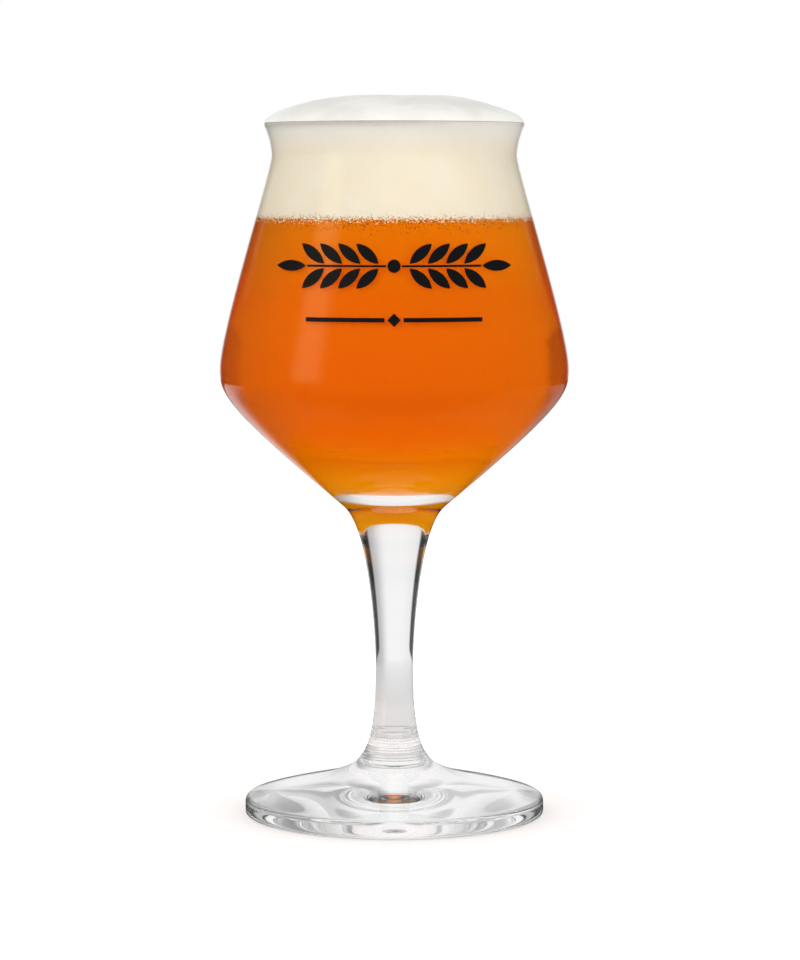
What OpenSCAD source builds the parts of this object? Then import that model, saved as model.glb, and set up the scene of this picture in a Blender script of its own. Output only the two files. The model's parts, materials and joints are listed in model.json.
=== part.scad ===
// Stemmed beer glass with a flared lip, filled with amber beer under a domed head of foam.
// Millimetres, +Z up. The glass stands on z = 0 around the Z axis and its print faces -Y.

/* [Foot] */
// Diameter of the foot over its edge
foot_d = 79.8; // [72:0.2:88]
// Height of the rounded edge, up to where the top begins to slope
foot_edge = 4.8; // [3.8:0.1:5.8]
// Slope of the top just inside the edge, in degrees
foot_slope = 18; // [12:1:22]
// Radius of the upper corner of the edge
edge_round = 1.6; // [0.8:0.1:1.8]
// Radius of the lower corner of the edge
base_round = 0.8; // [0.4:0.1:1.2]
// Diameter of the ring where the top turns up into the stem
root_d = 18.8; // [16:0.2:22]
// Height of that ring above the table
root_z = 14.6; // [13:0.1:16]
// Lean of the surface at that ring, in degrees from upright
root_lean = 38; // [30:1:45]
// Width of the flat ring that the glass stands on
rest_w = 3; // [2:0.5:6]
// Depth of the shallow hollow under the foot
hollow_h = 2; // [0.5:0.1:3]
// Height of the seam between foot and stem
foot_h = 20; // [18:0.5:23]

/* [Stem] */
// Length of the stem between its two seams
stem_len = 59; // [50:1:80]
// Diameter at the thinnest place
waist_d = 10; // [8:0.1:12]
// Height of the thinnest place, as a share of the stem's length
waist_at = 0.33; // [0.25:0.01:0.4]

/* [Bowl] */
// Diameter at the hip, where the cone of the bowl turns into the stem
hip_d = 27; // [24:0.2:30]
// Height of the hip above the seam between stem and bowl
hip_rise = 3.3; // [2.5:0.1:4.5]
// Diameter at the belly, the widest ring
belly_d = 92.6; // [84:0.2:100]
// Height of the belly above the hip
belly_rise = 36.7; // [32:0.1:42]
// Drop from the belly to the corner that the cone aims at
belly_drop = 9.2; // [7:0.1:11]
// Diameter at the neck, the narrowest ring under the lip
neck_d = 64.8; // [58:0.2:70]
// Height of the neck above the belly
neck_rise = 56.2; // [48:0.1:64]
// Diameter at the rim, measured outside
rim_d = 68.6; // [66:0.2:74]
// Height of the rim above the neck
lip_rise = 7.7; // [6:0.1:9]
// Outward lean of the lip, in degrees from upright
lip_lean = 26; // [18:1:32]
// Thickness of the wall
wall = 1.3; // [0.9:0.1:1.8]
// Thickness of the glass between the seam and the inside bottom
base_t = 9.9; // [8.5:0.1:10.5]
// Where the even wall turns into the inside bottom, as a share of the way from hip to belly
bottom_at = 0.34; // [0.26:0.02:0.44]
// How far the inside bottom stays level around the axis
bottom_flat = 7.9; // [4:0.1:9]

/* [Fill] */
// Drop from the neck to the top of the beer
fill_drop = 16.7; // [8:0.1:30]
// Height of the foam above the inside edge of the rim
dome_h = 8.4; // [3:0.1:10]
// Squareness of the dome: 2 is an ellipse, higher is flatter on top
dome_power = 1.9; // [1.5:0.05:3]

/* [Print] */
// Thickness of the ink
ink_t = 0.15; // [0.1:0.05:0.3]
// Height of the ears of barley above the belly
ears_rise = 28; // [22:0.5:32]
// Height of the ruled line above the belly
rule_rise = 14.5; // [10:0.5:16]
// Grains on each side of an ear
grain_pairs = 4; // [2:1:4]
// Length of a grain
grain_len = 7.6; // [6:0.1:9]
// Width of a grain
grain_w = 2.8; // [2.2:0.1:3.2]
// Gap between neighbouring marks
ink_gap = 0.3; // [0.2:0.05:0.5]
// Length of each half of the ruled line
rule_len = 20; // [12:0.5:24]
// Width of the ruled line
rule_w = 1.1; // [0.6:0.1:1.6]

/* [Hidden] */
// Sizes of the print that follow from its grains
GRAIN_LEAN = 42;
stalk_w = grain_w * 0.2;
dot_r = grain_w * 0.6;
grain_pitch = (grain_w + ink_gap) / sin(GRAIN_LEAN);

// Straight steps in each curve of the outline
steps = 12;
round_steps = 5;

// Heights above the table
stem_top = foot_h + stem_len;
waist_z = foot_h + waist_at * stem_len;
hip_z = stem_top + hip_rise;
belly_z = hip_z + belly_rise;
neck_z = belly_z + neck_rise;
rim_z = neck_z + lip_rise;
floor_z = stem_top + base_t;
beer_z = neck_z - fill_drop;

// Directions as [outward, upward]
UP = [0, 1];
OUT = [1, 0];
function along(lean) = [sin(lean), cos(lean)];
function across(lean) = [cos(lean), -sin(lean)];

// Rings of the outer surface as [radius, height], from the table up
foot_r = foot_d / 2;
round_c = [foot_r - edge_round, foot_edge - edge_round];
edge = round_c + edge_round * [sin(foot_slope), cos(foot_slope)];
root = [root_d / 2, root_z];
waist = [waist_d / 2, waist_z];
hip = [hip_d / 2, hip_z];
belly = [belly_d / 2, belly_z];
neck = [neck_d / 2, neck_z];
rim = [rim_d / 2, rim_z];
corner = belly - belly_drop * UP;
hip_lean = atan2(corner[0] - hip[0], corner[1] - hip[1]);

// Rings of the inner surface
inside_lip = wall * across(lip_lean);
rim_in = rim - inside_lip;
neck_in = neck - wall * OUT;
belly_in = belly - wall * OUT;

// How far each curve follows the direction of a ring, as a share of the curve's height
LIP_EASE = 0.39;
NECK_EASE_UP = 0.23;
NECK_EASE_DOWN = 0.07;
BELLY_EASE_UP = 0.18;
BELLY_EASE_DOWN = 0.155;
HIP_EASE = 0.216;
WAIST_EASE_UP = 0.14;
WAIST_EASE_DOWN = 0.69;
ROOT_EASE_UP = 0.166;
ROOT_EASE_OUT = 0.213;
EDGE_EASE = 0.377;
BOTTOM_EASE = 0.84;

function bezier(a, b, c, d, t) =
    pow(1 - t, 3) * a + 3 * t * pow(1 - t, 2) * b + 3 * t * t * (1 - t) * c + pow(t, 3) * d;

// Points of a curve without its first one, which ends the curve before it
function curve(a, b, c, d) = [for (i = [1:steps]) bezier(a, b, c, d, i / steps)];

// Points of an arc round c, from one angle to another, also without the first one
function arc(c, r, from, to) =
    [for (i = [1:round_steps]) c + r * [cos(from + (to - from) * i / round_steps),
                                        sin(from + (to - from) * i / round_steps)]];

// A list from its end to its start, leaving out some points at the end
function reversed(list, skip = 0) = [for (i = [len(list) - 1 - skip:-1:0]) list[i]];

// Underside and edge of the foot, from the axis outward
rest_r = foot_r - base_round;
hollow_r = rest_r - rest_w;
foot_base = concat(
    [[0, hollow_h]],
    curve([0, hollow_h], [hollow_r / 2, hollow_h], [hollow_r * 0.8, 0], [hollow_r, 0]),
    [[rest_r, 0]],
    arc([rest_r, base_round], base_round, -90, 0),
    [[foot_r, round_c[1]]],
    arc(round_c, edge_round, 0, 90 - foot_slope));

foot_top = curve(
    edge, edge + EDGE_EASE * (foot_r - root[0]) * [-cos(foot_slope), sin(foot_slope)],
    root + ROOT_EASE_OUT * (foot_r - root[0]) * [sin(root_lean), -cos(root_lean)], root);

stem_low = curve(
    root, root + ROOT_EASE_UP * (waist_z - root_z) * [-sin(root_lean), cos(root_lean)],
    waist - WAIST_EASE_DOWN * (waist_z - root_z) * UP, waist);

stem_high = curve(
    waist, waist + WAIST_EASE_UP * (hip_z - waist_z) * UP,
    hip - HIP_EASE * (hip_z - waist_z) * along(hip_lean), hip);

cone_end = belly - BELLY_EASE_DOWN * belly_rise * UP;
bowl_low = curve(hip, corner, cone_end, belly);

bowl_high = curve(
    belly, belly + BELLY_EASE_UP * neck_rise * UP, neck - NECK_EASE_DOWN * neck_rise * UP, neck);

lip_out = curve(
    neck, neck + NECK_EASE_UP * lip_rise * UP, rim - LIP_EASE * lip_rise * along(lip_lean), rim);

lip_round = arc(rim - inside_lip / 2, wall / 2, -lip_lean, 180 - lip_lean);

// Direction of the cone at a share of the way from hip to belly
function cone_way(t) =
    let (way = pow(1 - t, 2) * (corner - hip) + 2 * t * (1 - t) * (cone_end - corner)
               + t * t * (belly - cone_end))
    way / norm(way);

// Point of the inner wall beside the cone, at the wall's thickness from it
function cone_in(t) = bezier(hip, corner, cone_end, belly, t) - wall * [cone_way(t)[1], -cone_way(t)[0]];

// Ring where the inside bottom meets the even wall, and how far that wall goes on down to the bottom's level
bottom_in = cone_in(bottom_at);
bottom_turn = (bottom_in[1] - floor_z) / cone_way(bottom_at)[1];

// Inner surface, from the middle of the bottom up to the rim
inner_wall = concat(
    [[0, floor_z]],
    curve([0, floor_z], [bottom_flat, floor_z],
          bottom_in - BOTTOM_EASE * bottom_turn * cone_way(bottom_at), bottom_in),
    [for (i = [1:steps]) cone_in(bottom_at + (1 - bottom_at) * i / steps)],
    curve(belly_in, belly_in + BELLY_EASE_UP * neck_rise * UP,
          neck_in - NECK_EASE_DOWN * neck_rise * UP, neck_in),
    curve(neck_in, neck_in + NECK_EASE_UP * lip_rise * UP,
          rim_in - LIP_EASE * lip_rise * along(lip_lean), rim_in));

// All of the glass in half section, which the seams cut into foot, stem and bowl
module glass_section() {
    polygon(concat(foot_base, foot_top, stem_low, stem_high, bowl_low, bowl_high,
                   lip_out, lip_round, reversed(inner_wall, 1)));
}

// The drink in half section: inside of the bowl with the dome of foam on top
module drink_section() {
    dome = [for (i = [1:steps]) rim_in + [
        rim_in[0] * (pow(cos(90 * i / steps), 2 / dome_power) - 1),
        dome_h * pow(sin(90 * i / steps), 2 / dome_power)]];
    polygon(concat(inner_wall, dome));
}

// Turns the part of a section between two heights round the axis
module turned(low, high) {
    rotate_extrude()
        intersection() {
            children();
            translate([0, low])
                square([belly_d, high - low]);
        }
}

module bowl() {
    color([0.92, 0.95, 0.96, 0.35])
        turned(stem_top, rim_z + lip_rise)
            glass_section();
}

module stem() {
    color([0.92, 0.95, 0.96, 0.35])
        turned(foot_h, stem_top)
            glass_section();
}

module foot() {
    color([0.92, 0.95, 0.96, 0.35])
        turned(-foot_h, foot_h)
            glass_section();
}

module beer() {
    color([0.85, 0.35, 0.02])
        turned(0, beer_z)
            drink_section();
}

module foam_head() {
    color([0.95, 0.91, 0.83])
        turned(beer_z, rim_z + 2 * dome_h)
            drink_section();
}

// A pointed oval, lying along X from the origin
module grain() {
    bend = (grain_len * grain_len + grain_w * grain_w) / (4 * grain_w);
    translate([grain_len / 2, 0])
        intersection() {
            translate([0, bend - grain_w / 2])
                circle(bend);
            translate([0, grain_w / 2 - bend])
                circle(bend);
        }
}

// An ear of barley that grows along X, with a gap round every grain
module ear() {
    start = grain_w * 1.4;
    for (side = [-1, 1], i = [0:grain_pairs - 1])
        translate([start + i * grain_pitch, side * (stalk_w / 2 + ink_gap)])
            rotate(side * GRAIN_LEAN)
                grain();
    translate([start + grain_pairs * grain_pitch, 0])
        grain();
    translate([dot_r + ink_gap, -stalk_w / 2])
        square([start + grain_pairs * grain_pitch - dot_r - 2 * ink_gap, stalk_w]);
}

// Two ears back to back with a dot between them, over a ruled line with a lozenge in it
module motif() {
    lozenge = rule_w * 2.2;
    translate([0, belly_z + ears_rise]) {
        circle(dot_r);
        for (side = [0, 1])
            mirror([side, 0])
                ear();
    }
    translate([0, belly_z + rule_rise]) {
        rotate(45)
            square(lozenge, center = true);
        for (side = [0, 1])
            mirror([side, 0])
                translate([lozenge, -rule_w / 2])
                    square([rule_len, rule_w]);
    }
}

module front_print() {
    ink = [for (p = bowl_high) p + ink_t * OUT];
    color([0.05, 0.05, 0.05])
        intersection() {
            rotate_extrude()
                polygon(concat(bowl_high, reversed(ink)));
            rotate([90, 0, 0])
                linear_extrude(belly_d)
                    motif();
        }
}

bowl();
stem();
foot();
beer();
foam_head();
front_print();
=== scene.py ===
"""Stemmed beer glass with beer and foam, dressed in the part's own frame. Metres, +Z up, front at -Y."""

import json
import math
from collections import namedtuple

import bmesh
import bpy
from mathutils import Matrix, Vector, noise

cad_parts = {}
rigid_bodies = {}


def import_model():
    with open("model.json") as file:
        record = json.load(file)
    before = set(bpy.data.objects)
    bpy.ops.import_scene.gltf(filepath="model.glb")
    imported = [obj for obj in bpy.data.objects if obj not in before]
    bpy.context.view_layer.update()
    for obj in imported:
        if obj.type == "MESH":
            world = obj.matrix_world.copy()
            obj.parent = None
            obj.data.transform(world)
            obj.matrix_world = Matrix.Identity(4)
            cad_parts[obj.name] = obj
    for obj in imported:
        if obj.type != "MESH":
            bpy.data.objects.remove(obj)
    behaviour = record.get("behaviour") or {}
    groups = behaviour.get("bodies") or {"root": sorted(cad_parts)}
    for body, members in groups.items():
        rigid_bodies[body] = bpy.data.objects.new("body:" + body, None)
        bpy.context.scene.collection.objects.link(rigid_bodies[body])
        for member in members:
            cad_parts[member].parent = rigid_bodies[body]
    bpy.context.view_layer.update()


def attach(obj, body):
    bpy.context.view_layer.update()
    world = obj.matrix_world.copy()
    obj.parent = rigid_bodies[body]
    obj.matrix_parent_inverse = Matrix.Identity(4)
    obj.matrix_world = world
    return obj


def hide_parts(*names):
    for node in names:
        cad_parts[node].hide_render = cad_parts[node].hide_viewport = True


MM = 0.001
WHITE = (1, 1, 1, 1)

# Faces round the axis, and steps along a curve or an arc of the outline
ROUND = 240
STEPS = 30
FINE_STEPS = 120
ARC_STEPS = 10

# Points that are nearer than this are one point, in millimetres
SAME_PLACE = 0.001

# Sizes in millimetres and leans, as in the part's source. BOTTOM_AT is a share of the cone's curve, and
# DOME_POWER the form of the foam's dome.
FOOT_R = 39.9
FOOT_EDGE = 4.8
FOOT_SLOPE = math.radians(18)
EDGE_ROUND = 1.6
BASE_ROUND = 0.8
REST_W = 3.0
HOLLOW_H = 2.0
ROOT_LEAN = math.radians(38)
FOOT_H = 20.0
STEM_TOP = 79.0
BELLY_DROP = 9.2
LIP_LEAN = math.radians(26)
WALL = 1.3
FLOOR_Z = 88.9
BOTTOM_AT = 0.34
BOTTOM_FLAT = 7.9
BEER_Z = 158.5
DOME_POWER = 1.9

# How far each curve follows the direction of a ring, as a share of the curve's height or width
LIP_EASE = 0.39
NECK_EASE_UP = 0.23
NECK_EASE_DOWN = 0.07
BELLY_EASE_UP = 0.18
BELLY_EASE_DOWN = 0.155
HIP_EASE = 0.216
WAIST_EASE_UP = 0.14
WAIST_EASE_DOWN = 0.69
ROOT_EASE_UP = 0.166
ROOT_EASE_OUT = 0.213
EDGE_EASE = 0.377
BOTTOM_EASE = 0.84

# Handles of the curve under the foot, as shares of the hollow's radius
HOLLOW_IN = 0.5
HOLLOW_OUT = 0.8

# Faint rings round the collar of the stem: where they begin and end, their depth and pitch, and the finer
# waves on them, as a share of the depth and in half waves to a pitch
RINGS_LOW = 11.0
RINGS_HIGH = 27.0
RING_DEPTH = 0.035
RING_PITCH = 1.9
FINE_RING_DEPTH = 0.7
FINE_RING_WAVES = 5.3

# The drink stays this far from the glass, so that no two surfaces share a place
FILM = 0.04

# The foam lies on the rim round to this many degrees up from straight out. Its dome is lower than the
# solid's, to leave room for humps, and they fade to its edge by this power.
OVER_RIM = 40
DOME_H = 7.55
DOME_FADE = 4

# Humps and hollows of the foam's top, in millimetres
Hump = namedtuple("Hump", "across back rise width")
HUMPS = (
    Hump(across=-15, back=-4, rise=0.30, width=8),
    Hump(across=15, back=-3, rise=0.55, width=8),
    Hump(across=4, back=-2, rise=-0.40, width=6),
    Hump(across=8, back=-17, rise=0.45, width=6),
    Hump(across=-10, back=-19, rise=0.40, width=6),
    Hump(across=-22, back=-12, rise=0.40, width=6),
    Hump(across=23, back=-9, rise=-0.35, width=6),
    Hump(across=-2, back=14, rise=0.25, width=9),
)

# Broad and fine unevenness over all of the top: height, steps of noise to a millimetre, and the fine one's
# own layer of the noise
BROAD_RISE = 0.22
BROAD_NOISE = 0.16
FINE_RISE = 0.14
FINE_NOISE = 0.45
FINE_LAYER = 9

# Numbers of the materials on a glass piece, and of the one material on the drink
CLEAR = 0
SEAM = 1
WET = 2
DRINK = 0

# Refraction of glass and beer against air. The bowl's inner face bends light into the beer, so that the
# beer's own surface doesn't.
GLASS_IOR = 1.5
BEER_IOR = 1.34
NO_BEND = 1.0

# Beer: what it takes from light that crosses it, and the shade it casts
BEER_COLOUR = (0.995, 0.859, 0.1, 1)
BEER_DENSITY = 170
BEER_SHADE = (0.95, 0.55, 0.1, 1)

# Haze of the beer, as the share of light that it throws back: everywhere, added near the bottom, and added
# round the belly, with the heights where each ends
HAZE = 0.31
HAZE_MORE = 0.55
HAZE_FADE = (88, 106)
BELLY_HAZE = 0.1
BELLY_REACH = (110, 128)
BELLY_SOFT = 12

# The haze is painted golden near the bottom, a lighter copy of the amber that stands in for the bright table
# seen through the shallow beer there, amber in the middle and this far golden at the top
AMBER_HAZE = (0.95, 0.24, 0.001, 1)
GOLDEN_HAZE = (0.99, 0.39, 0.002, 1)
UPPER_GOLD = 0.75

# Painted light: a weak glow of the bottom, an emission that stands in for the light that the haze there gets
# from the table, and the heights over which it ends
PAINTED_BOTTOM_GLOW = 0.32
GLOW_FADE = (102, 116)

# Painted shade: the dull brown that the beer is painted where it is seen deep in the foot, after three
# mirrorings on the way, a darker copy of its colour. The limits lie between whole numbers of mirrorings or
# bounces.
FAR_SHADE_BROWN = (0.33, 0.24, 0.18, 1)
TWICE = 2.5
NEVER = 0.5

# Froth behind the glass and on the open dome, each in two shades that change in soft clouds. The dome's
# greys are a darker copy of the froth, painted shade of the top.
WARM_CREAM = (0.965, 0.865, 0.68, 1)
PALE_CREAM = (0.98, 0.895, 0.725, 1)
CREAM_SCALE = 90
CREAM_RANGE = (0.3, 0.7)
GREY_FROTH_SHADE = (0.645, 0.635, 0.60, 1)
LIGHT_FROTH_SHADE = (0.715, 0.705, 0.67, 1)
FROTH_SCALE = 80
FROTH_RANGE = (0.35, 0.65)
CLOUD_DETAIL = 3

# The lip's paler cream, painted light for the foam under the lip, which faces down and gets little light;
# how far above the rim's ring the open froth begins in full; and the thin dark line there, painted shade
# along the rim
LIP_LIT_CREAM = (1, 0.965, 0.88, 1)
OPEN_UP = 1.2
RIM_SHADE_LINE = (0.34, 0.31, 0.27, 1)
RIM_LINE_UP = (0.55, 0.8)
RIM_LINE_SOFT = 0.1

# Tiny bubbles where beer and foam meet: their number to a metre, how strongly they roughen the foam, and
# how deep in metres
BUBBLE_SCALE = 3300
BUBBLE_BUMP = 0.25
BUBBLE_DEPTH = 0.0002

# Pale and dark bubbles in the beer: how far down they reach, their share at the top, the power by which
# the dark ones' share fades, in the foam too, and how much of the drink a bubble hides. The dark bubbles are
# painted shade, dark specks for the dark outlines that bubbles show.
PALE_BUBBLE = (0.95, 0.78, 0.50, 1)
PALE_DOWN = 1.3
PALE_SHARE = 0.28
DARK_BUBBLE_SHADE = (0.36, 0.115, 0.011, 1)
DARK_DOWN = 5.0
DARK_SHARE = 0.3
DARK_FADE = 2
BUBBLE_COVER = 0.9

# Dark bubbles in the foam: the heights from the beer's surface over which they end, and their colour, amber
# at the beer, where beer lies between the lowest bubbles, and a darker cream this far above it, painted
# shade for the bubbles' dark outlines
DARK_UP = (-1.0, 2.8)
AMBER_BUBBLE = (0.60, 0.34, 0.12, 1)
CREAM_BUBBLE_SHADE = (0.75, 0.64, 0.48, 1)
AMBER_UP = 1.3

# Roughness and mirroring of foam and ink
FOAM_ROUGH = 0.7
FOAM_GLOSS = 0.2
INK_COLOUR = (0.006, 0.005, 0.006, 1)
INK_ROUGH = 0.5
INK_GLOSS = 0.3

# Half width of the table, and how far it runs to the front and the back, in metres. It lies this many
# millimetres under the glass.
TABLE_X = 0.4
TABLE_FRONT = 0.6
TABLE_BACK = 1.5
TABLE_DROP = 0.1

# The table's white, and how far it is lifted for the camera by the foot and away from it, in metres from
# the axis
TABLE_WHITE = (0.9, 0.9, 0.9, 1)
FOOT_LIFT = 0.01
AWAY_LIFT = 0.3
LIFT_AWAY = (0.045, 0.11)

# Where it counts as far off, in metres
FAR_TABLE = (0.12, 0.4)

# Where it darkens to the sides, and where its front begins, which is painted dark for rays turned back in
# the glass, a painted shade, in metres
TABLE_RIM = (0.29, 0.40)
FRONT_TABLE = (-0.055, -0.042)

# Painted shade and light on the table: how much darker it is painted close by when seen through glass,
# standing in for the glass's shadow, and how much lighter it is painted under the foot
PAINTED_TABLE_SHADE = (0.03, 0.03, 0.03, 1)
NEAR_FALL = 0.25
UNDER_FOOT = (0.028, 0.042)
UNDER_LIFT = 0.3

# The part of the table that the limbs of the bowl mirror, in metres to the back, and its light on either
# side
MIRROR_BACK = (0.3, 0.6)
MIRROR_SOFT = 0.17
LEFT_TABLE = 0.78
RIGHT_TABLE = 0.3

# Dark ring under the bowl, seen only in mirror images, a painted dark reflection, in metres
CARD_R = (0.013, 0.046)
CARD_Z = 0.074
CARD_ROUND = 48
CARD_COLOUR = (0.01, 0.005, 0.002, 1)

# White screen behind the glass, by degrees to the side of straight back: it is even up to SCREEN_EVEN, dims
# toward SCREEN_DIM, less on the left, and ends at SCREEN_EDGE
SCREEN_LIGHT = 0.96
LEFT_FALL = 0.06
RIGHT_FALL = 0.42
SIDE_SOFT = 10
SCREEN_EVEN = 9
SCREEN_DIM = 34
SCREEN_EDGE = 39
EDGE_SOFT = 4

# Past the screen's edge the studio is dark, by degrees to the side and up
DARK_END = 68
DARK_END_SOFT = 6
DARK_RISE = 25
DARK_RISE_SOFT = 8
DARK_DEPTH = 0.94

# The part of the screen that the foot turns back is greyer, by degrees to the side and up
GREY_SIDE = (10, 24)
GREY_END = (50, 62)
GREY_RISE = (15, 46)
GREY_RISE_SOFT = 4
GREY_DEPTH = 0.38

# Directions at the sides of the camera, where the room is plain white again, but darker for rays that were
# turned back in the glass, the most high up
FRONT_SIDE = (80, 110)
FRONT_RISE = (24, 32)
FRONT_LOW = 0.4

# What polished surfaces mirror: little of the room, the middle of the screen, and more of its higher part,
# by degrees to the side and up
ROOM_MIRRORED = 0.02
LOW_MIRRORED = 0.8
LOW_SIDE = (8, 22)
HIGH_MIRRORED = 0.6
HIGH_SIDE = (30, 50)
HIGH_RISE = (7, 14)

# Soft box at the left in front, by degrees from straight back and up
BOX_TURN = (-124, -117)
BOX_TURN_SOFT = 13
BOX_RISE = (0, 42)
BOX_RISE_SOFT = 14
BOX_LIGHT = 1.05
BOX_COLOUR = (1, 0.97, 0.48, 1)

# Light that matt surfaces get from all around, and the point that the soft lamps aim at
ROOM_LIGHT = 0.93
LAMP_AIM = Vector((0, 0, 0.12))

# Camera: sensor and lens in millimetres, place and farthest sight in metres, and degrees that it looks down
SENSOR = 36
LENS = 125.06
CAMERA_AT = (0.0015, -0.8844, 0.1667)
SIGHT = 50
LOOK_DOWN = 5.004

# How often light may bounce on its way through the glass
BOUNCES = 24
MIRROR_BOUNCES = 12


def ring(radius, height):
    return Vector((radius, height))


def along(lean):
    return ring(math.sin(lean), math.cos(lean))


def across(lean):
    return ring(math.cos(lean), -math.sin(lean))


UP = ring(0, 1)
OUT = ring(1, 0)

# Rings of the glass, from the foot up, as in the part's source. The belly is a hair smaller, to stay inside
# the solid.
ROOT = ring(9.4, 14.6)
WAIST = ring(5.0, 39.47)
HIP = ring(13.5, 82.3)
BELLY = ring(46.28, 119.0)
NECK = ring(32.4, 175.2)
RIM = ring(34.3, 182.9)

# Heights and widths of the curves between them, the cone of the bowl, and the middle of the lip's edge
CORNER = BELLY - BELLY_DROP * UP
HIP_LEAN = math.atan2(CORNER.x - HIP.x, CORNER.y - HIP.y)
TOP_RUN = FOOT_R - ROOT.x
LOW_RUN = WAIST.y - ROOT.y
HIGH_RUN = HIP.y - WAIST.y
BELLY_RUN = BELLY.y - HIP.y
NECK_RUN = NECK.y - BELLY.y
LIP_RUN = RIM.y - NECK.y
CONE = (HIP, CORNER, BELLY - BELLY_EASE_DOWN * BELLY_RUN * UP, BELLY)
LIP = RIM - WALL / 2 * across(LIP_LEAN)
LIP_DEG = math.degrees(LIP_LEAN)


def bezier(a, b, c, d, t):
    s = 1 - t
    return s**3 * a + 3 * t * s * s * b + 3 * t * t * s * c + t**3 * d


def heading(a, b, c, d, t):
    """Direction of a Bezier curve."""
    s = 1 - t
    return (s * s * (b - a) + 2 * t * s * (c - b) + t * t * (d - c)).normalized()


def curve(a, b, c, d, steps=STEPS):
    """Points of a Bezier curve, without its first one."""
    return [bezier(a, b, c, d, i / steps) for i in range(1, steps + 1)]


def arc(centre, radius, start, end):
    """Points of an arc, without its first one. Angles in degrees."""
    points = []
    for i in range(1, ARC_STEPS + 1):
        angle = math.radians(start + (end - start) * i / ARC_STEPS)
        points.append(centre + radius * ring(math.cos(angle), math.sin(angle)))
    return points


def between(points, low, high):
    """The stretch of an outline between two heights, cut at both."""
    kept = []
    for p, q in zip(points, points[1:]):
        for cut in sorted((low, high), reverse=p.y > q.y):
            if min(p.y, q.y) < cut < max(p.y, q.y):
                kept.append(p.lerp(q, (cut - p.y) / (q.y - p.y)))
        if low <= q.y <= high:
            kept.append(q)
    if low <= points[0].y <= high:
        kept.insert(0, points[0])
    return kept


def ringed(points):
    """An outline with the faint rings round the collar of the stem."""
    moved = []
    for p in points:
        share = (p.y - RINGS_LOW) / (RINGS_HIGH - RINGS_LOW)
        if 0 < share < 1:
            broad = math.sin(2 * math.pi * p.y / RING_PITCH)
            fine = FINE_RING_DEPTH * math.sin(FINE_RING_WAVES * math.pi * p.y / RING_PITCH)
            p = p + RING_DEPTH * math.sin(math.pi * share) ** 2 * (broad + fine) * OUT
        moved.append(p)
    return moved


def foot_outline():
    """The underside from the axis out to the flat ring, and the rounded edge up to where the top begins."""
    rest_r = FOOT_R - BASE_ROUND
    hollow_r = rest_r - REST_W
    top = ring(0, HOLLOW_H)
    near_top = ring(hollow_r * HOLLOW_IN, HOLLOW_H)
    near_ring = ring(hollow_r * HOLLOW_OUT, 0)
    underside = [top] + curve(top, near_top, near_ring, ring(hollow_r, 0))
    edge_c = ring(FOOT_R - EDGE_ROUND, FOOT_EDGE - EDGE_ROUND)
    edge = (
        [ring(rest_r, 0)]
        + arc(ring(rest_r, BASE_ROUND), BASE_ROUND, -90, 0)
        + [ring(FOOT_R, edge_c.y)]
        + arc(edge_c, EDGE_ROUND, 0, 90 - math.degrees(FOOT_SLOPE))
    )
    return underside, edge


def outside(edge):
    """Outer surface of the glass from the foot's edge up to the rim."""
    down = ring(math.sin(ROOT_LEAN), -math.cos(ROOT_LEAN))
    inward = ring(-math.cos(FOOT_SLOPE), math.sin(FOOT_SLOPE))
    over_edge = edge + EDGE_EASE * TOP_RUN * inward
    below_root = ROOT + ROOT_EASE_OUT * TOP_RUN * down
    above_root = ROOT - ROOT_EASE_UP * LOW_RUN * down
    below_waist = WAIST - WAIST_EASE_DOWN * LOW_RUN * UP
    above_waist = WAIST + WAIST_EASE_UP * HIGH_RUN * UP
    below_hip = HIP - HIP_EASE * HIGH_RUN * along(HIP_LEAN)
    points = (
        [edge]
        + curve(edge, over_edge, below_root, ROOT, FINE_STEPS)
        + curve(ROOT, above_root, below_waist, WAIST, FINE_STEPS)
        + curve(WAIST, above_waist, below_hip, HIP)
        + curve(*CONE)
        + upper_wall(BELLY, NECK, RIM)
    )
    return ringed(points)


def upper_wall(belly, neck, rim):
    """The wall from the belly over the neck to the rim."""
    above_belly = belly + BELLY_EASE_UP * NECK_RUN * UP
    below_neck = neck - NECK_EASE_DOWN * NECK_RUN * UP
    above_neck = neck + NECK_EASE_UP * LIP_RUN * UP
    below_rim = rim - LIP_EASE * LIP_RUN * along(LIP_LEAN)
    return curve(belly, above_belly, below_neck, neck) + curve(neck, above_neck, below_rim, rim)


def inside(inset):
    """Inner wall from the middle of the bottom up to the rim, moved in from the glass by inset."""
    wall = WALL + inset
    low = ring(0, FLOOR_Z + inset)
    side = []
    for i in range(STEPS + 1):
        t = BOTTOM_AT + (1 - BOTTOM_AT) * i / STEPS
        way = heading(*CONE, t)
        side.append(bezier(*CONE, t) - wall * ring(way.y, -way.x))
    way = heading(*CONE, BOTTOM_AT)
    turn = (side[0].y - low.y) / way.y
    return (
        [low]
        + curve(low, low + BOTTOM_FLAT * OUT, side[0] - BOTTOM_EASE * turn * way, side[0], FINE_STEPS)
        + side[1:]
        + upper_wall(BELLY - wall * OUT, NECK - wall * OUT, RIM - wall * across(LIP_LEAN))
    )


def new_piece(name, mesh, materials):
    piece = bpy.data.objects.new(name, mesh)
    bpy.context.scene.collection.objects.link(piece)
    for material in materials:
        mesh.materials.append(material)
    return piece


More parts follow.
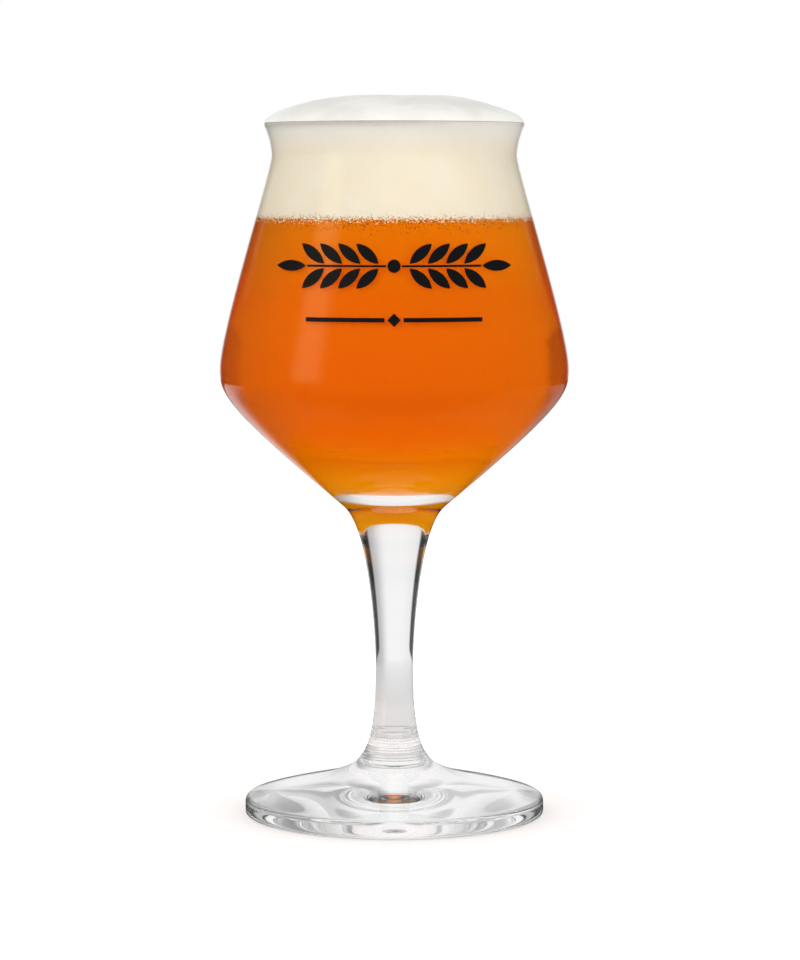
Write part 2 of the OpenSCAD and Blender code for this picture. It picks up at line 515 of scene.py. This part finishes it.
def lathe(name, stretches, materials):
    """Closed turned piece. A stretch is a list of rings, the number of its material, and whether a sharp
    edge parts it from the stretch before. Where two stretches meet in one ring, it is made once."""
    rows = []
    for points, number, sharp in stretches:
        for k, p in enumerate(points):
            if rows and k == 0 and (rows[-1][0] - p).length < SAME_PLACE:
                rows[-1] = (p, number, sharp)
            else:
                rows.append((p, number, sharp and k == 0))
    bm = bmesh.new()
    loops = []
    for p, number, sharp in rows:
        count = ROUND if p.x > SAME_PLACE else 1
        loop = []
        for i in range(count):
            a = 2 * math.pi * i / ROUND
            loop.append(bm.verts.new((p.x * math.cos(a) * MM, p.x * math.sin(a) * MM, p.y * MM)))
        loops.append(loop)
    for (p, number, sharp), low, high in zip(rows, loops, loops[1:]):
        for i in range(ROUND):
            j = (i + 1) % ROUND
            corners = [low[i % len(low)], low[j % len(low)], high[j % len(high)], high[i % len(high)]]
            face = bm.faces.new(list(dict.fromkeys(corners)))
            face.smooth = True
            face.material_index = number
    for (p, number, sharp), loop in zip(rows, loops):
        if sharp and len(loop) > 1:
            for i in range(ROUND):
                bm.edges.get((loop[i], loop[(i + 1) % ROUND])).smooth = False
    bmesh.ops.recalc_face_normals(bm, faces=bm.faces)
    mesh = bpy.data.meshes.new(name)
    bm.to_mesh(mesh)
    bm.free()
    return new_piece(name, mesh, materials)


def new_material(name):
    material = bpy.data.materials.new(name)
    material.use_nodes = True
    tree = material.node_tree
    return material, tree, tree.nodes["Principled BSDF"], tree.nodes["Material Output"]


def calc(tree, operation, *values):
    """A math node fed by numbers or sockets; gives its output."""
    node = tree.nodes.new("ShaderNodeMath")
    node.operation = operation
    for slot, value in zip(node.inputs, values):
        if isinstance(value, (int, float)):
            slot.default_value = value
        else:
            tree.links.new(value, slot)
    return node.outputs[0]


def product(tree, first, *others):
    """Numbers or sockets multiplied with each other."""
    total = first
    for value in others:
        total = calc(tree, "MULTIPLY", total, value)
    return total


def rest(tree, value):
    """What a value leaves of 1."""
    return calc(tree, "SUBTRACT", 1, value)


def ramp(tree, value, start, end):
    """Rises smoothly from 0 at start to 1 at end."""
    node = tree.nodes.new("ShaderNodeMapRange")
    node.interpolation_type = "SMOOTHSTEP"
    node.inputs["From Min"].default_value = start
    node.inputs["From Max"].default_value = end
    tree.links.new(value, node.inputs["Value"])
    return node.outputs["Result"]


def falling(tree, value, start, end):
    """Falls smoothly from 1 at start to 0 at end."""
    return rest(tree, ramp(tree, value, start, end))


def window(tree, value, low, high, soft):
    """About 1 between low and high, with soft shoulders outside."""
    return product(tree, ramp(tree, value, low - soft, low), falling(tree, value, high, high + soft))


def mixed(tree, factor, first, second):
    """A colour between two colours or sockets."""
    node = tree.nodes.new("ShaderNodeMix")
    node.data_type = "RGBA"
    tree.links.new(factor, node.inputs["Factor"])
    for slot, value in ((node.inputs["A"], first), (node.inputs["B"], second)):
        if isinstance(value, tuple):
            slot.default_value = value
        else:
            tree.links.new(value, slot)
    return node.outputs["Result"]


def joined(tree, factor, first, second):
    """A shader between two shaders."""
    node = tree.nodes.new("ShaderNodeMixShader")
    tree.links.new(factor, node.inputs["Fac"])
    tree.links.new(first.outputs[0], node.inputs[1])
    tree.links.new(second.outputs[0], node.inputs[2])
    return node


def added(tree, first, second):
    """Two shaders on top of each other."""
    node = tree.nodes.new("ShaderNodeAddShader")
    tree.links.new(first.outputs[0], node.inputs[0])
    tree.links.new(second.outputs[0], node.inputs[1])
    return node


def lit_through(tree, shader, output, tint=WHITE):
    """Lets lamps shine through a clear surface, so that it casts no dark shadow."""
    path = tree.nodes.new("ShaderNodeLightPath")
    clear = tree.nodes.new("ShaderNodeBsdfTransparent")
    clear.inputs["Color"].default_value = tint
    lit = joined(tree, path.outputs["Is Shadow Ray"], shader, clear)
    tree.links.new(lit.outputs[0], output.inputs["Surface"])


def make_clear(shader, ior):
    """Sets a shader to a clear, polished substance."""
    shader.inputs["Base Color"].default_value = WHITE
    shader.inputs["Transmission Weight"].default_value = 1
    shader.inputs["Roughness"].default_value = 0
    shader.inputs["IOR"].default_value = ior


def make_solid(shader, roughness, gloss):
    """Sets how rough a solid surface is and how strongly it mirrors."""
    shader.inputs["Roughness"].default_value = roughness
    shader.inputs["Specular IOR Level"].default_value = gloss


def glass_material(name, ior):
    material, tree, shader, output = new_material(name)
    make_clear(shader, ior)
    lit_through(tree, shader, output)
    return material


def seam_material():
    """The face where two glass pieces are joined hot: light goes on as if it weren't there."""
    material, tree, shader, output = new_material("joined_glass")
    clear = tree.nodes.new("ShaderNodeBsdfTransparent")
    tree.nodes.remove(shader)
    tree.links.new(clear.outputs[0], output.inputs["Surface"])
    return material


def places(tree):
    """Where a point of a piece is, and its height in millimetres."""
    coord = tree.nodes.new("ShaderNodeTexCoord").outputs["Object"]
    apart = tree.nodes.new("ShaderNodeSeparateXYZ")
    tree.links.new(coord, apart.inputs[0])
    return coord, calc(tree, "DIVIDE", apart.outputs["Z"], MM)


def bubble_cells(tree, coord):
    """Cells as small as the bubbles."""
    cells = tree.nodes.new("ShaderNodeTexVoronoi")
    cells.inputs["Scale"].default_value = BUBBLE_SCALE
    tree.links.new(coord, cells.inputs["Vector"])
    return cells


def bubble_chance(tree, cells):
    """A random value from 0 to 1 for each tiny bubble."""
    colour = tree.nodes.new("ShaderNodeSeparateColor")
    tree.links.new(cells.outputs["Color"], colour.inputs[0])
    return colour.outputs[0]


def beer_bubbles(tree, coord, height):
    """The pale and the dark bubbles at the top of the beer, each 1 or 0."""
    chance = bubble_chance(tree, bubble_cells(tree, coord))
    pale_share = product(tree, ramp(tree, height, BEER_Z - PALE_DOWN, BEER_Z), PALE_SHARE)
    dark_rise = calc(tree, "POWER", ramp(tree, height, BEER_Z - DARK_DOWN, BEER_Z), DARK_FADE)
    dark_share = product(tree, dark_rise, DARK_SHARE)
    pale = calc(tree, "LESS_THAN", chance, pale_share)
    dark = calc(tree, "GREATER_THAN", chance, rest(tree, dark_share))
    return pale, dark


def beer_material():
    """Slightly hazy amber. Its colour comes from the depth of drink that light crosses, and from light that
    the haze throws back, which is thicker near the bottom and painted more golden there, as painted light.
    A painted glow near the bottom stands in for light from the table, beer seen after three mirrorings is
    painted a dull brown shade, and the dark bubbles are painted shade."""
    material, tree, shader, output = new_material("amber_beer")
    coord, height = places(tree)
    make_clear(shader, NO_BEND)

    # Painted light: near the bottom the haze is a lighter, golden copy of the amber
    low = falling(tree, height, *HAZE_FADE)
    high = product(tree, ramp(tree, height, BELLY.y, BEER_Z), UPPER_GOLD)
    tint = mixed(tree, calc(tree, "MAXIMUM", low, high), AMBER_HAZE, GOLDEN_HAZE)
    share = calc(tree, "MULTIPLY_ADD", low, HAZE_MORE, HAZE)
    belly = window(tree, height, *BELLY_REACH, BELLY_SOFT)
    share = calc(tree, "MULTIPLY_ADD", belly, BELLY_HAZE, share)
    pale, dark = beer_bubbles(tree, coord, height)
    # Painted shade: the dark bubbles are dark specks for the bubbles' dark outlines
    spotted = mixed(tree, dark, mixed(tree, pale, tint, PALE_BUBBLE), DARK_BUBBLE_SHADE)
    bubble = product(tree, calc(tree, "MAXIMUM", pale, dark), BUBBLE_COVER)
    share = calc(tree, "MAXIMUM", share, bubble)

    # Painted shade: beer seen after more than two mirrorings is painted dull brown, all haze and without its
    # glow
    path = tree.nodes.new("ShaderNodeLightPath")
    far_off = calc(tree, "GREATER_THAN", path.outputs["Glossy Depth"], TWICE)
    haze = tree.nodes.new("ShaderNodeBsdfDiffuse")
    tree.links.new(mixed(tree, far_off, spotted, FAR_SHADE_BROWN), haze.inputs["Color"])
    share = calc(tree, "MAXIMUM", share, far_off)
    # Painted light: the bottom of the beer glows, standing in for light that its haze gets from the table
    glow = tree.nodes.new("ShaderNodeEmission")
    tree.links.new(tint, glow.inputs["Color"])
    deep = product(tree, falling(tree, height, *GLOW_FADE), rest(tree, far_off), PAINTED_BOTTOM_GLOW)
    tree.links.new(deep, glow.inputs["Strength"])
    hazy = joined(tree, share, shader, added(tree, haze, glow))
    lit_through(tree, hazy, output, BEER_SHADE)

    absorb = tree.nodes.new("ShaderNodeVolumeAbsorption")
    absorb.inputs["Color"].default_value = BEER_COLOUR
    absorb.inputs["Density"].default_value = BEER_DENSITY
    tree.links.new(absorb.outputs[0], output.inputs["Volume"])
    return material


def clouds(tree, coord, scale, value_range, first, second):
    """Two colours that change into each other in soft clouds."""
    cloud = tree.nodes.new("ShaderNodeTexNoise")
    cloud.inputs["Scale"].default_value = scale
    cloud.inputs["Detail"].default_value = CLOUD_DETAIL
    tree.links.new(coord, cloud.inputs["Vector"])
    return mixed(tree, ramp(tree, cloud.outputs["Fac"], *value_range), first, second)


def foam_material():
    """Fine froth: cream where the wet glass holds it, painted paler at the lip as painted light, paler and
    painted greyer on the open dome as shade of the top, with a thin painted shade line at the rim, amber
    between the lowest bubbles, and darker cream higher up in the dark bubbles, a painted shade."""
    material, tree, shader, output = new_material("beer_foam")
    coord, height = places(tree)
    cream = clouds(tree, coord, CREAM_SCALE, CREAM_RANGE, WARM_CREAM, PALE_CREAM)
    # Painted shade: the open dome's froth is a greyer copy of the froth behind the glass
    open_froth = clouds(tree, coord, FROTH_SCALE, FROTH_RANGE, GREY_FROTH_SHADE, LIGHT_FROTH_SHADE)
    # Painted light: the foam under the lip is painted paler, as it gets little light
    cream = mixed(tree, ramp(tree, height, NECK.y, RIM.y), cream, LIP_LIT_CREAM)
    froth = mixed(tree, ramp(tree, height, RIM.y, RIM.y + OPEN_UP), cream, open_froth)
    # Painted shade: a thin dark line on the froth just above the rim's ring
    line_low, line_high = (RIM.y + up for up in RIM_LINE_UP)
    froth = mixed(tree, window(tree, height, line_low, line_high, RIM_LINE_SOFT), froth, RIM_SHADE_LINE)

    cells = bubble_cells(tree, coord)
    dark_low, dark_high = (BEER_Z + up for up in DARK_UP)
    dark_share = calc(tree, "POWER", falling(tree, height, dark_low, dark_high), DARK_FADE)
    dark = calc(tree, "LESS_THAN", bubble_chance(tree, cells), dark_share)
    # Dark bubbles: amber where beer lies between them, and above it a darker cream, painted shade
    speck = mixed(tree, ramp(tree, height, BEER_Z, BEER_Z + AMBER_UP), AMBER_BUBBLE, CREAM_BUBBLE_SHADE)
    tree.links.new(mixed(tree, dark, froth, speck), shader.inputs["Base Color"])

    bump = tree.nodes.new("ShaderNodeBump")
    bump.inputs["Strength"].default_value = BUBBLE_BUMP
    bump.inputs["Distance"].default_value = BUBBLE_DEPTH
    tree.links.new(cells.outputs["Distance"], bump.inputs["Height"])
    tree.links.new(bump.outputs["Normal"], shader.inputs["Normal"])
    make_solid(shader, FOAM_ROUGH, FOAM_GLOSS)
    return material


def ink_material():
    material, tree, shader, output = new_material("black_ink")
    shader.inputs["Base Color"].default_value = INK_COLOUR
    make_solid(shader, INK_ROUGH, INK_GLOSS)
    return material


def froth_rise(x, y):
    """How far the uneven foam stands above an even dome."""
    broad = BROAD_RISE * noise.noise(Vector((x, y, 0)) * BROAD_NOISE)
    fine = FINE_RISE * noise.noise(Vector((x, y, FINE_LAYER)) * FINE_NOISE)
    rise = broad + fine
    for hump in HUMPS:
        away = math.hypot(x - hump.across, y - hump.back) / hump.width
        rise += hump.rise * math.exp(-away * away)
    return rise


def foam_piece(drink):
    """Foam from the beer up the wall, a little way over the rim, and domed above it."""
    wall = between(drink, BEER_Z + FILM, RIM.y + LIP_RUN)
    over_rim = arc(LIP, WALL / 2 + FILM, 180 - LIP_DEG, OVER_RIM)
    top = over_rim[-1]
    dome = []
    for i in range(1, STEPS + 1):
        a = math.pi / 2 * i / STEPS
        x = top.x * max(math.cos(a), 0) ** (2 / DOME_POWER) if i < STEPS else 0
        dome.append(ring(x, top.y + DOME_H * math.sin(a) ** (2 / DOME_POWER)))
    piece = lathe(
        "foam_piece",
        [
            ([ring(0, BEER_Z + FILM), wall[0]], DRINK, False),
            (wall, DRINK, True),
            (over_rim + dome, DRINK, False),
        ],
        [foam_material()],
    )
    for v in piece.data.vertices:
        if v.co.z > (top.y + SAME_PLACE) * MM:
            x, y = v.co.x / MM, v.co.y / MM
            open_top = 1 - (math.hypot(x, y) / top.x) ** DOME_FADE
            v.co.z += froth_rise(x, y) * open_top * MM
    return piece


class Rays:
    """Kinds of rays that reach the studio, each 1 or 0: those of the camera, those that light matt surfaces,
    those seen through glass, those mirrored inside the glass before they left it, and those mirrored by its
    outside."""

    def __init__(self, tree):
        path = tree.nodes.new("ShaderNodeLightPath")
        self.camera = path.outputs["Is Camera Ray"]
        self.matt = calc(tree, "GREATER_THAN", path.outputs["Diffuse Depth"], NEVER)
        sharp = rest(tree, self.matt)
        self.through = product(tree, sharp, path.outputs["Is Transmission Ray"])
        turned = calc(tree, "GREATER_THAN", path.outputs["Glossy Depth"], NEVER)
        self.turned_back = product(tree, self.through, turned)
        stayed_out = rest(tree, path.outputs["Is Transmission Ray"])
        self.mirrored = product(tree, sharp, path.outputs["Is Glossy Ray"], stayed_out)


def by_side(tree, turn, left, right):
    """One value to the left of straight back and another to the right, with a soft change between."""
    return calc(tree, "MULTIPLY_ADD", falling(tree, turn, -SIDE_SOFT, SIDE_SOFT), left - right, right)


def screen_light(tree, turn):
    """Light of the screen by degrees from straight back."""
    side = calc(tree, "ABSOLUTE", turn)
    dim = product(tree, ramp(tree, side, SCREEN_EVEN, SCREEN_DIM), falling(tree, side, *FRONT_SIDE))
    fall = by_side(tree, turn, LEFT_FALL, RIGHT_FALL)
    return calc(tree, "SUBTRACT", SCREEN_LIGHT, product(tree, dim, fall))


def past_screen(tree, side):
    """1 past the screen's edge and 0 before it."""
    return ramp(tree, side, SCREEN_EDGE - EDGE_SOFT, SCREEN_EDGE + EDGE_SOFT)


def make_floor():
    """White table. It is lifted to full white for the camera, and farther off it is as bright as the screen
    when it is seen through glass, dark past the screen's sides. Seen through glass it is painted lighter
    under the foot, painted darker close by, and in front for rays turned back in the glass; in mirror
    images it is painted dark outside a band behind the glass: painted light and shade."""
    mesh = bpy.data.meshes.new("floor")
    corners = [
        (-TABLE_X, -TABLE_FRONT, 0),
        (TABLE_X, -TABLE_FRONT, 0),
        (TABLE_X, TABLE_BACK, 0),
        (-TABLE_X, TABLE_BACK, 0),
    ]
    mesh.from_pydata(corners, [], [list(range(len(corners)))])
    material, tree, shader, output = new_material("white_floor")
    coord = tree.nodes.new("ShaderNodeTexCoord")
    place = tree.nodes.new("ShaderNodeSeparateXYZ")
    tree.links.new(coord.outputs["Object"], place.inputs[0])
    to_right = place.outputs["X"]
    to_back = place.outputs["Y"]
    rays = Rays(tree)
    shader.inputs["Base Color"].default_value = TABLE_WHITE
    make_solid(shader, roughness=1, gloss=0)
    shader.inputs["Emission Color"].default_value = WHITE

    across_x = calc(tree, "ABSOLUTE", to_right)
    turn = calc(tree, "DEGREES", calc(tree, "ARCTAN2", to_right, to_back))
    side = calc(tree, "ABSOLUTE", turn)
    squares = calc(tree, "MULTIPLY_ADD", across_x, across_x, calc(tree, "POWER", to_back, 2))
    away = calc(tree, "SQRT", squares)
    far = ramp(tree, away, *FAR_TABLE)
    # Painted light: seen through glass, the table under the foot is lifted lighter
    under = falling(tree, away, *UNDER_FOOT)
    lift = product(tree, under, rays.through, UNDER_LIFT)
    seen_lift = calc(tree, "MULTIPLY_ADD", ramp(tree, away, *LIFT_AWAY), AWAY_LIFT - FOOT_LIFT, FOOT_LIFT)
    lift = calc(tree, "MULTIPLY_ADD", rays.camera, seen_lift, lift)
    tree.links.new(lift, shader.inputs["Emission Strength"])
    distant = tree.nodes.new("ShaderNodeEmission")
    off_side = product(tree, past_screen(tree, side), ramp(tree, across_x, *TABLE_RIM))
    distant_light = product(tree, rest(tree, off_side), screen_light(tree, turn))
    tree.links.new(distant_light, distant.inputs["Strength"])
    table = joined(tree, product(tree, rays.through, far), shader, distant)

    # Painted shade: seen through glass, the table close by is darker, and in front it is dark for rays
    # turned back in the glass
    close = calc(tree, "SUBTRACT", rest(tree, far), under)
    straight = calc(tree, "SUBTRACT", rays.through, rays.turned_back)
    near_fall = product(tree, straight, close, NEAR_FALL)
    in_front = falling(tree, to_back, *FRONT_TABLE)
    inner_fall = calc(tree, "MULTIPLY_ADD", rays.turned_back, in_front, near_fall)
    # Painted shade in mirror images: the table is dark outside a band behind the glass
    mirror_light = window(tree, to_back, *MIRROR_BACK, MIRROR_SOFT)
    mirror_light = product(tree, mirror_light, by_side(tree, turn, LEFT_TABLE, RIGHT_TABLE))
    mirror_fall = product(tree, rays.mirrored, rest(tree, mirror_light))
    fall = calc(tree, "ADD", mirror_fall, inner_fall)
    dark = tree.nodes.new("ShaderNodeBsdfDiffuse")
    dark.inputs["Color"].default_value = PAINTED_TABLE_SHADE
    table = joined(tree, calc(tree, "MINIMUM", fall, 1), table, dark)
    tree.links.new(table.outputs[0], output.inputs["Surface"])
    floor = new_piece("floor", mesh, [material])
    floor.location.z = -TABLE_DROP * MM


def make_reflection_card():
    """Dark ring under the bowl that shows in mirror images only, a painted dark reflection, so that the bowl
    doesn't mirror the foot."""
    bm = bmesh.new()
    rings = []
    for radius in CARD_R:
        turns = [2 * math.pi * i / CARD_ROUND for i in range(CARD_ROUND)]
        rings.append([bm.verts.new((radius * math.cos(a), radius * math.sin(a), CARD_Z)) for a in turns])
    for i in range(CARD_ROUND):
        j = (i + 1) % CARD_ROUND
        bm.faces.new((rings[0][i], rings[0][j], rings[1][j], rings[1][i]))
    mesh = bpy.data.meshes.new("dark_card")
    bm.to_mesh(mesh)
    bm.free()
    material, tree, shader, output = new_material("dark_card")
    shader.inputs["Base Color"].default_value = CARD_COLOUR
    make_solid(shader, roughness=1, gloss=0)
    card = new_piece("dark_card", mesh, [material])
    card.visible_camera = False
    card.visible_diffuse = False
    card.visible_transmission = False
    card.visible_shadow = False


def light_through(tree, rays, turn, side, rise):
    """Light of the studio for rays that went through glass."""
    flank = product(
        tree,
        past_screen(tree, side),
        falling(tree, side, DARK_END - DARK_END_SOFT, DARK_END + DARK_END_SOFT),
        rest(tree, rays.turned_back),
        window(tree, rise, -DARK_RISE, DARK_RISE, DARK_RISE_SOFT),
        DARK_DEPTH,
    )
    front_fall = calc(tree, "MULTIPLY_ADD", ramp(tree, rise, *FRONT_RISE), 1 - FRONT_LOW, FRONT_LOW)
    front = product(tree, ramp(tree, side, *FRONT_SIDE), front_fall, rays.turned_back)
    grey = product(
        tree,
        ramp(tree, side, *GREY_SIDE),
        falling(tree, side, *GREY_END),
        window(tree, rise, *GREY_RISE, GREY_RISE_SOFT),
        rays.turned_back,
        GREY_DEPTH,
    )
    lit = product(tree, rest(tree, flank), rest(tree, front), rest(tree, grey))
    return product(tree, screen_light(tree, turn), lit)


def light_mirrored(tree, side, rise):
    """Light of the studio that polished surfaces mirror, apart from the soft box."""
    low_part = product(tree, falling(tree, side, *LOW_SIDE), LOW_MIRRORED)
    high_part = product(tree, falling(tree, side, *HIGH_SIDE), ramp(tree, rise, *HIGH_RISE), HIGH_MIRRORED)
    return calc(tree, "ADD", calc(tree, "MAXIMUM", low_part, high_part), ROOM_MIRRORED)


def make_world():
    """White studio: a screen behind the glass, dark beside the screen, and one soft box in the
    reflections."""
    world = bpy.data.worlds.new("studio")
    bpy.context.scene.world = world
    world.use_nodes = True
    tree = world.node_tree
    coord = tree.nodes.new("ShaderNodeTexCoord")
    way = tree.nodes.new("ShaderNodeSeparateXYZ")
    tree.links.new(coord.outputs["Generated"], way.inputs[0])
    turn = calc(tree, "DEGREES", calc(tree, "ARCTAN2", way.outputs["X"], way.outputs["Y"]))
    rise = calc(tree, "DEGREES", calc(tree, "ARCSINE", way.outputs["Z"]))
    side = calc(tree, "ABSOLUTE", turn)
    rays = Rays(tree)

    total = calc(tree, "MULTIPLY_ADD", rays.matt, ROOM_LIGHT, rays.camera)
    total = calc(tree, "MULTIPLY_ADD", rays.through, light_through(tree, rays, turn, side, rise), total)
    total = calc(tree, "MULTIPLY_ADD", rays.mirrored, light_mirrored(tree, side, rise), total)
    room = tree.nodes["Background"]
    room.inputs["Color"].default_value = WHITE
    tree.links.new(calc(tree, "MINIMUM", total, 1), room.inputs["Strength"])

    box_wide = window(tree, turn, *BOX_TURN, BOX_TURN_SOFT)
    box_high = window(tree, rise, *BOX_RISE, BOX_RISE_SOFT)
    box = tree.nodes.new("ShaderNodeBackground")
    box.inputs["Color"].default_value = BOX_COLOUR
    box_light = product(tree, box_wide, box_high, BOX_LIGHT, rays.mirrored)
    tree.links.new(box_light, box.inputs["Strength"])
    tree.links.new(added(tree, room, box).outputs[0], tree.nodes["World Output"].inputs["Surface"])


def soft_lamp(name, place, size, power):
    data = bpy.data.lights.new(name, "AREA")
    data.size = size
    data.energy = power
    lamp = bpy.data.objects.new(name, data)
    lamp.location = place
    lamp.rotation_euler = (LAMP_AIM - Vector(place)).to_track_quat("-Z", "Y").to_euler()
    lamp.visible_camera = False
    lamp.visible_glossy = False
    lamp.visible_transmission = False
    bpy.context.scene.collection.objects.link(lamp)


def make_camera():
    data = bpy.data.cameras.new("camera")
    data.sensor_width = SENSOR
    data.lens = LENS
    data.clip_end = SIGHT
    camera = bpy.data.objects.new("camera", data)
    camera.location = CAMERA_AT
    camera.rotation_euler = (math.radians(90 - LOOK_DOWN), 0, 0)
    bpy.context.scene.collection.objects.link(camera)
    bpy.context.scene.camera = camera


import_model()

# The pieces, each turned from a part of the outline
clear_glass = glass_material("clear_glass", GLASS_IOR)
wet_glass = glass_material("glass_against_beer", GLASS_IOR / BEER_IOR)
seam_glass = seam_material()

underside, foot_edge = foot_outline()
outer = outside(foot_edge[-1])
inner = inside(0)
drink = inside(FILM)

foot_top = between(outer, 0, FOOT_H)
foot = lathe(
    "foot_piece",
    [
        (underside, CLEAR, False),
        (foot_edge[:-1], CLEAR, True),
        (foot_top, CLEAR, False),
        ([foot_top[-1], ring(0, FOOT_H)], SEAM, True),
    ],
    [clear_glass, seam_glass],
)

stem_wall = between(outer, FOOT_H, STEM_TOP)
stem = lathe(
    "stem_piece",
    [
        ([ring(0, FOOT_H), stem_wall[0]], SEAM, False),
        (stem_wall, CLEAR, True),
        ([stem_wall[-1], ring(0, STEM_TOP)], SEAM, True),
    ],
    [clear_glass, seam_glass],
)

bowl_wall = between(outer, STEM_TOP, RIM.y)
rim_round = arc(LIP, WALL / 2, -LIP_DEG, 180 - LIP_DEG)
bowl = lathe(
    "bowl_piece",
    [
        ([ring(0, STEM_TOP), bowl_wall[0]], SEAM, False),
        (bowl_wall + rim_round, CLEAR, True),
        (inner[::-1], WET, False),
    ],
    [clear_glass, seam_glass, wet_glass],
)

beer_wall = between(drink, 0, BEER_Z)
beer = lathe(
    "beer_piece",
    [
        (beer_wall, DRINK, False),
        ([beer_wall[-1], ring(0, BEER_Z)], DRINK, True),
    ],
    [beer_material()],
)
foam = foam_piece(drink)

for piece, node, slot in (
    (bowl, "bowl", "bowl_glass"),
    (stem, "stem", "stem_glass"),
    (foot, "foot", "foot_glass"),
    (beer, "beer", "beer"),
    (foam, "foam_head", "foam"),
):
    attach(piece, "root")
    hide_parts(node)

# The print keeps its solid and gets its ink
ink = ink_material()
for o in bpy.data.objects:
    if o.type == "MESH" and o.name.startswith("front_print"):
        o.data.materials.clear()
        o.data.materials.append(ink)

# The studio
make_floor()
make_reflection_card()
make_world()
soft_lamp("key", place=(-0.7, -0.9, 0.9), size=0.6, power=6.5)
soft_lamp("fill", place=(0.95, -0.6, 0.25), size=0.7, power=4.6)
soft_lamp("edge", place=(-0.95, -0.35, 0.2), size=0.6, power=1.1)
make_camera()

scene = bpy.context.scene
scene.view_settings.view_transform = "Standard"
scene.cycles.max_bounces = BOUNCES
scene.cycles.transmission_bounces = BOUNCES
scene.cycles.glossy_bounces = MIRROR_BOUNCES
scene.cycles.transparent_max_bounces = BOUNCES
